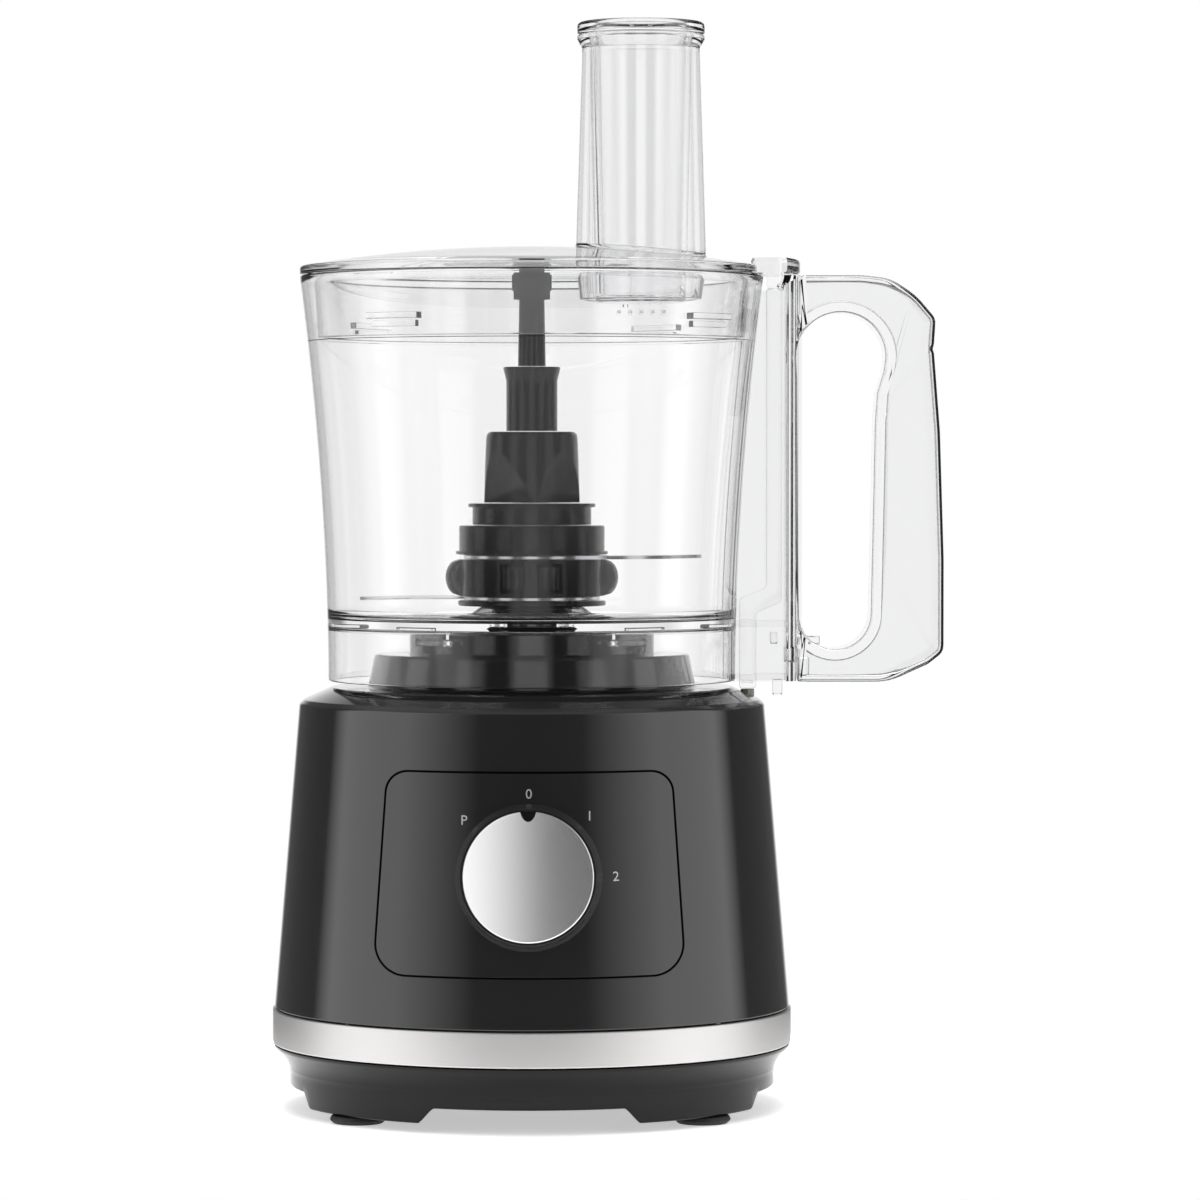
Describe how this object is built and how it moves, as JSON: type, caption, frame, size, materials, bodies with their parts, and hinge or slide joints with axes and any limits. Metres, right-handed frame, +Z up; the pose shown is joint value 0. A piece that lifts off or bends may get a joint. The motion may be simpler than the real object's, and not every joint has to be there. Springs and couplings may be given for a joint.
{
  "type": "food processor",
  "caption": "Compact food processor: black motor base with a dial, clear bowl with a handle, clear lid with a feed tube and pusher, and a knife stack on the spindle.",
  "frame": {"origin": "on the table, at the centre of the whole object's bounding box seen from above", "axes": "+Z up along the spindle, -Y towards the front with the dial, +X towards the bowl's handle"},
  "size_m": [0.2408, 0.2008, 0.3898],
  "materials": {
    "gloss_black": "moulded black plastic with a mirror gloss",
    "satin_black": "satin black moulded plastic",
    "knife_black": "dark grey semi-gloss moulded plastic",
    "clear": "clear, polished moulded plastic",
    "silver": "satin silver",
    "steel": "ground and polished stainless steel",
    "rubber": "matt black rubber",
    "zinc_steel": "pressed zinc-plated steel",
    "copper": "varnished copper wire",
    "bronze": "sintered bronze",
    "carbon": "pressed carbon",
    "white_nylon": "natural white nylon",
    "board": "green circuit board"
  },
  "bodies": {
    "base": {"base_housing": "gloss_black", "control_panel": "gloss_black", "trim_band": "silver", "bottom_cover": "satin_black", "foot_front_left": "rubber", "foot_front_right": "rubber", "foot_back_left": "rubber", "foot_back_right": "rubber", "cover_screw_front_left": "steel", "cover_screw_front_right": "steel", "cover_screw_back_left": "steel", "cover_screw_back_right": "steel", "cord_gland": "satin_black", "drive_belt": "rubber", "spindle_tube": "zinc_steel", "lower_bushing": "bronze", "upper_bushing": "bronze", "chassis_plate": "zinc_steel", "motor_stator": "zinc_steel", "field_coil_lower": "copper", "field_coil_upper": "copper", "motor_bearing_lower": "steel", "motor_bearing_upper": "steel", "motor_bracket": "zinc_steel", "brush_holder_left": "white_nylon", "brush_holder_right": "white_nylon", "carbon_brush_left": "carbon", "carbon_brush_right": "carbon", "speed_board": "board", "rotary_switch": "white_nylon", "interlock_spring": "steel", "interlock_switch": "satin_black"},
    "dial": {"dial_body": "satin_black", "dial_face": "silver", "dial_shaft": "steel"},
    "rotor": {"motor_shaft": "steel", "armature": "copper", "commutator": "bronze", "cooling_fan": "white_nylon", "motor_pulley": "steel"},
    "spindle": {"spindle_pulley": "white_nylon", "spindle_shaft": "steel", "drive_coupling": "satin_black", "knife_foot_ring": "knife_black", "knife_hub": "knife_black", "blade_lower": "steel", "blade_upper": "steel", "knife_clamp_ring": "knife_black", "knife_collar": "knife_black", "drive_sleeve": "knife_black", "sleeve_neck": "knife_black", "upper_shaft": "knife_black"},
    "bowl": {"bowl": "clear", "bowl_handle": "clear", "handle_cover": "clear"},
    "rod": {"interlock_rod": "clear"},
    "button": {"interlock_button": "white_nylon"},
    "lid": {"lid": "clear", "lid_bearing": "satin_black"},
    "pusher": {"pusher": "clear"}
  },
  "joints": [
    {"name": "dial_turn", "type": "hinge", "parent": "base", "child": "dial", "pos_m": [-0.0272, -0.08107, 0.0892], "axis": [0, -0.9962, 0.0872], "range_deg": [-90, 45]},
    {"name": "motor_spin", "type": "hinge", "parent": "base", "child": "rotor", "pos_m": [-0.0272, 0.05617, 0.08], "axis": [0, 0, 1], "continuous": true},
    {"name": "spindle_spin", "type": "hinge", "parent": "base", "child": "spindle", "pos_m": [-0.0272, 0.00717, 0.1], "axis": [0, 0, 1], "continuous": true},
    {"name": "bowl_turn", "type": "hinge", "parent": "base", "child": "bowl", "pos_m": [-0.0272, 0.00717, 0.172], "axis": [0, 0, 1], "range_deg": [0, 25]},
    {"name": "lid_turn", "type": "hinge", "parent": "bowl", "child": "lid", "pos_m": [-0.0272, 0.00717, 0.299], "axis": [0, 0, 1], "range_deg": [0, 20]},
    {"name": "interlock_rod_slide", "type": "slide", "parent": "bowl", "child": "rod", "axis": [0, 0, 1], "range_m": [0, 0.003]},
    {"name": "interlock_button_slide", "type": "slide", "parent": "base", "child": "button", "axis": [0, 0, 1], "range_m": [0, 0.003], "deforming": ["interlock_spring"]},
    {"name": "pusher_slide", "type": "slide", "parent": "lid", "child": "pusher", "axis": [0, 0, 1], "range_m": [0, 0.11]}
  ],
  "couplings": [
    {"joint": "spindle_spin", "follows": "motor_spin", "ratio": 0.2225},
    {"joint": "interlock_rod_slide", "follows": "lid_turn", "m_per_rad": 0.00859},
    {"joint": "interlock_button_slide", "follows": "lid_turn", "m_per_rad": 0.00859}
  ]
}
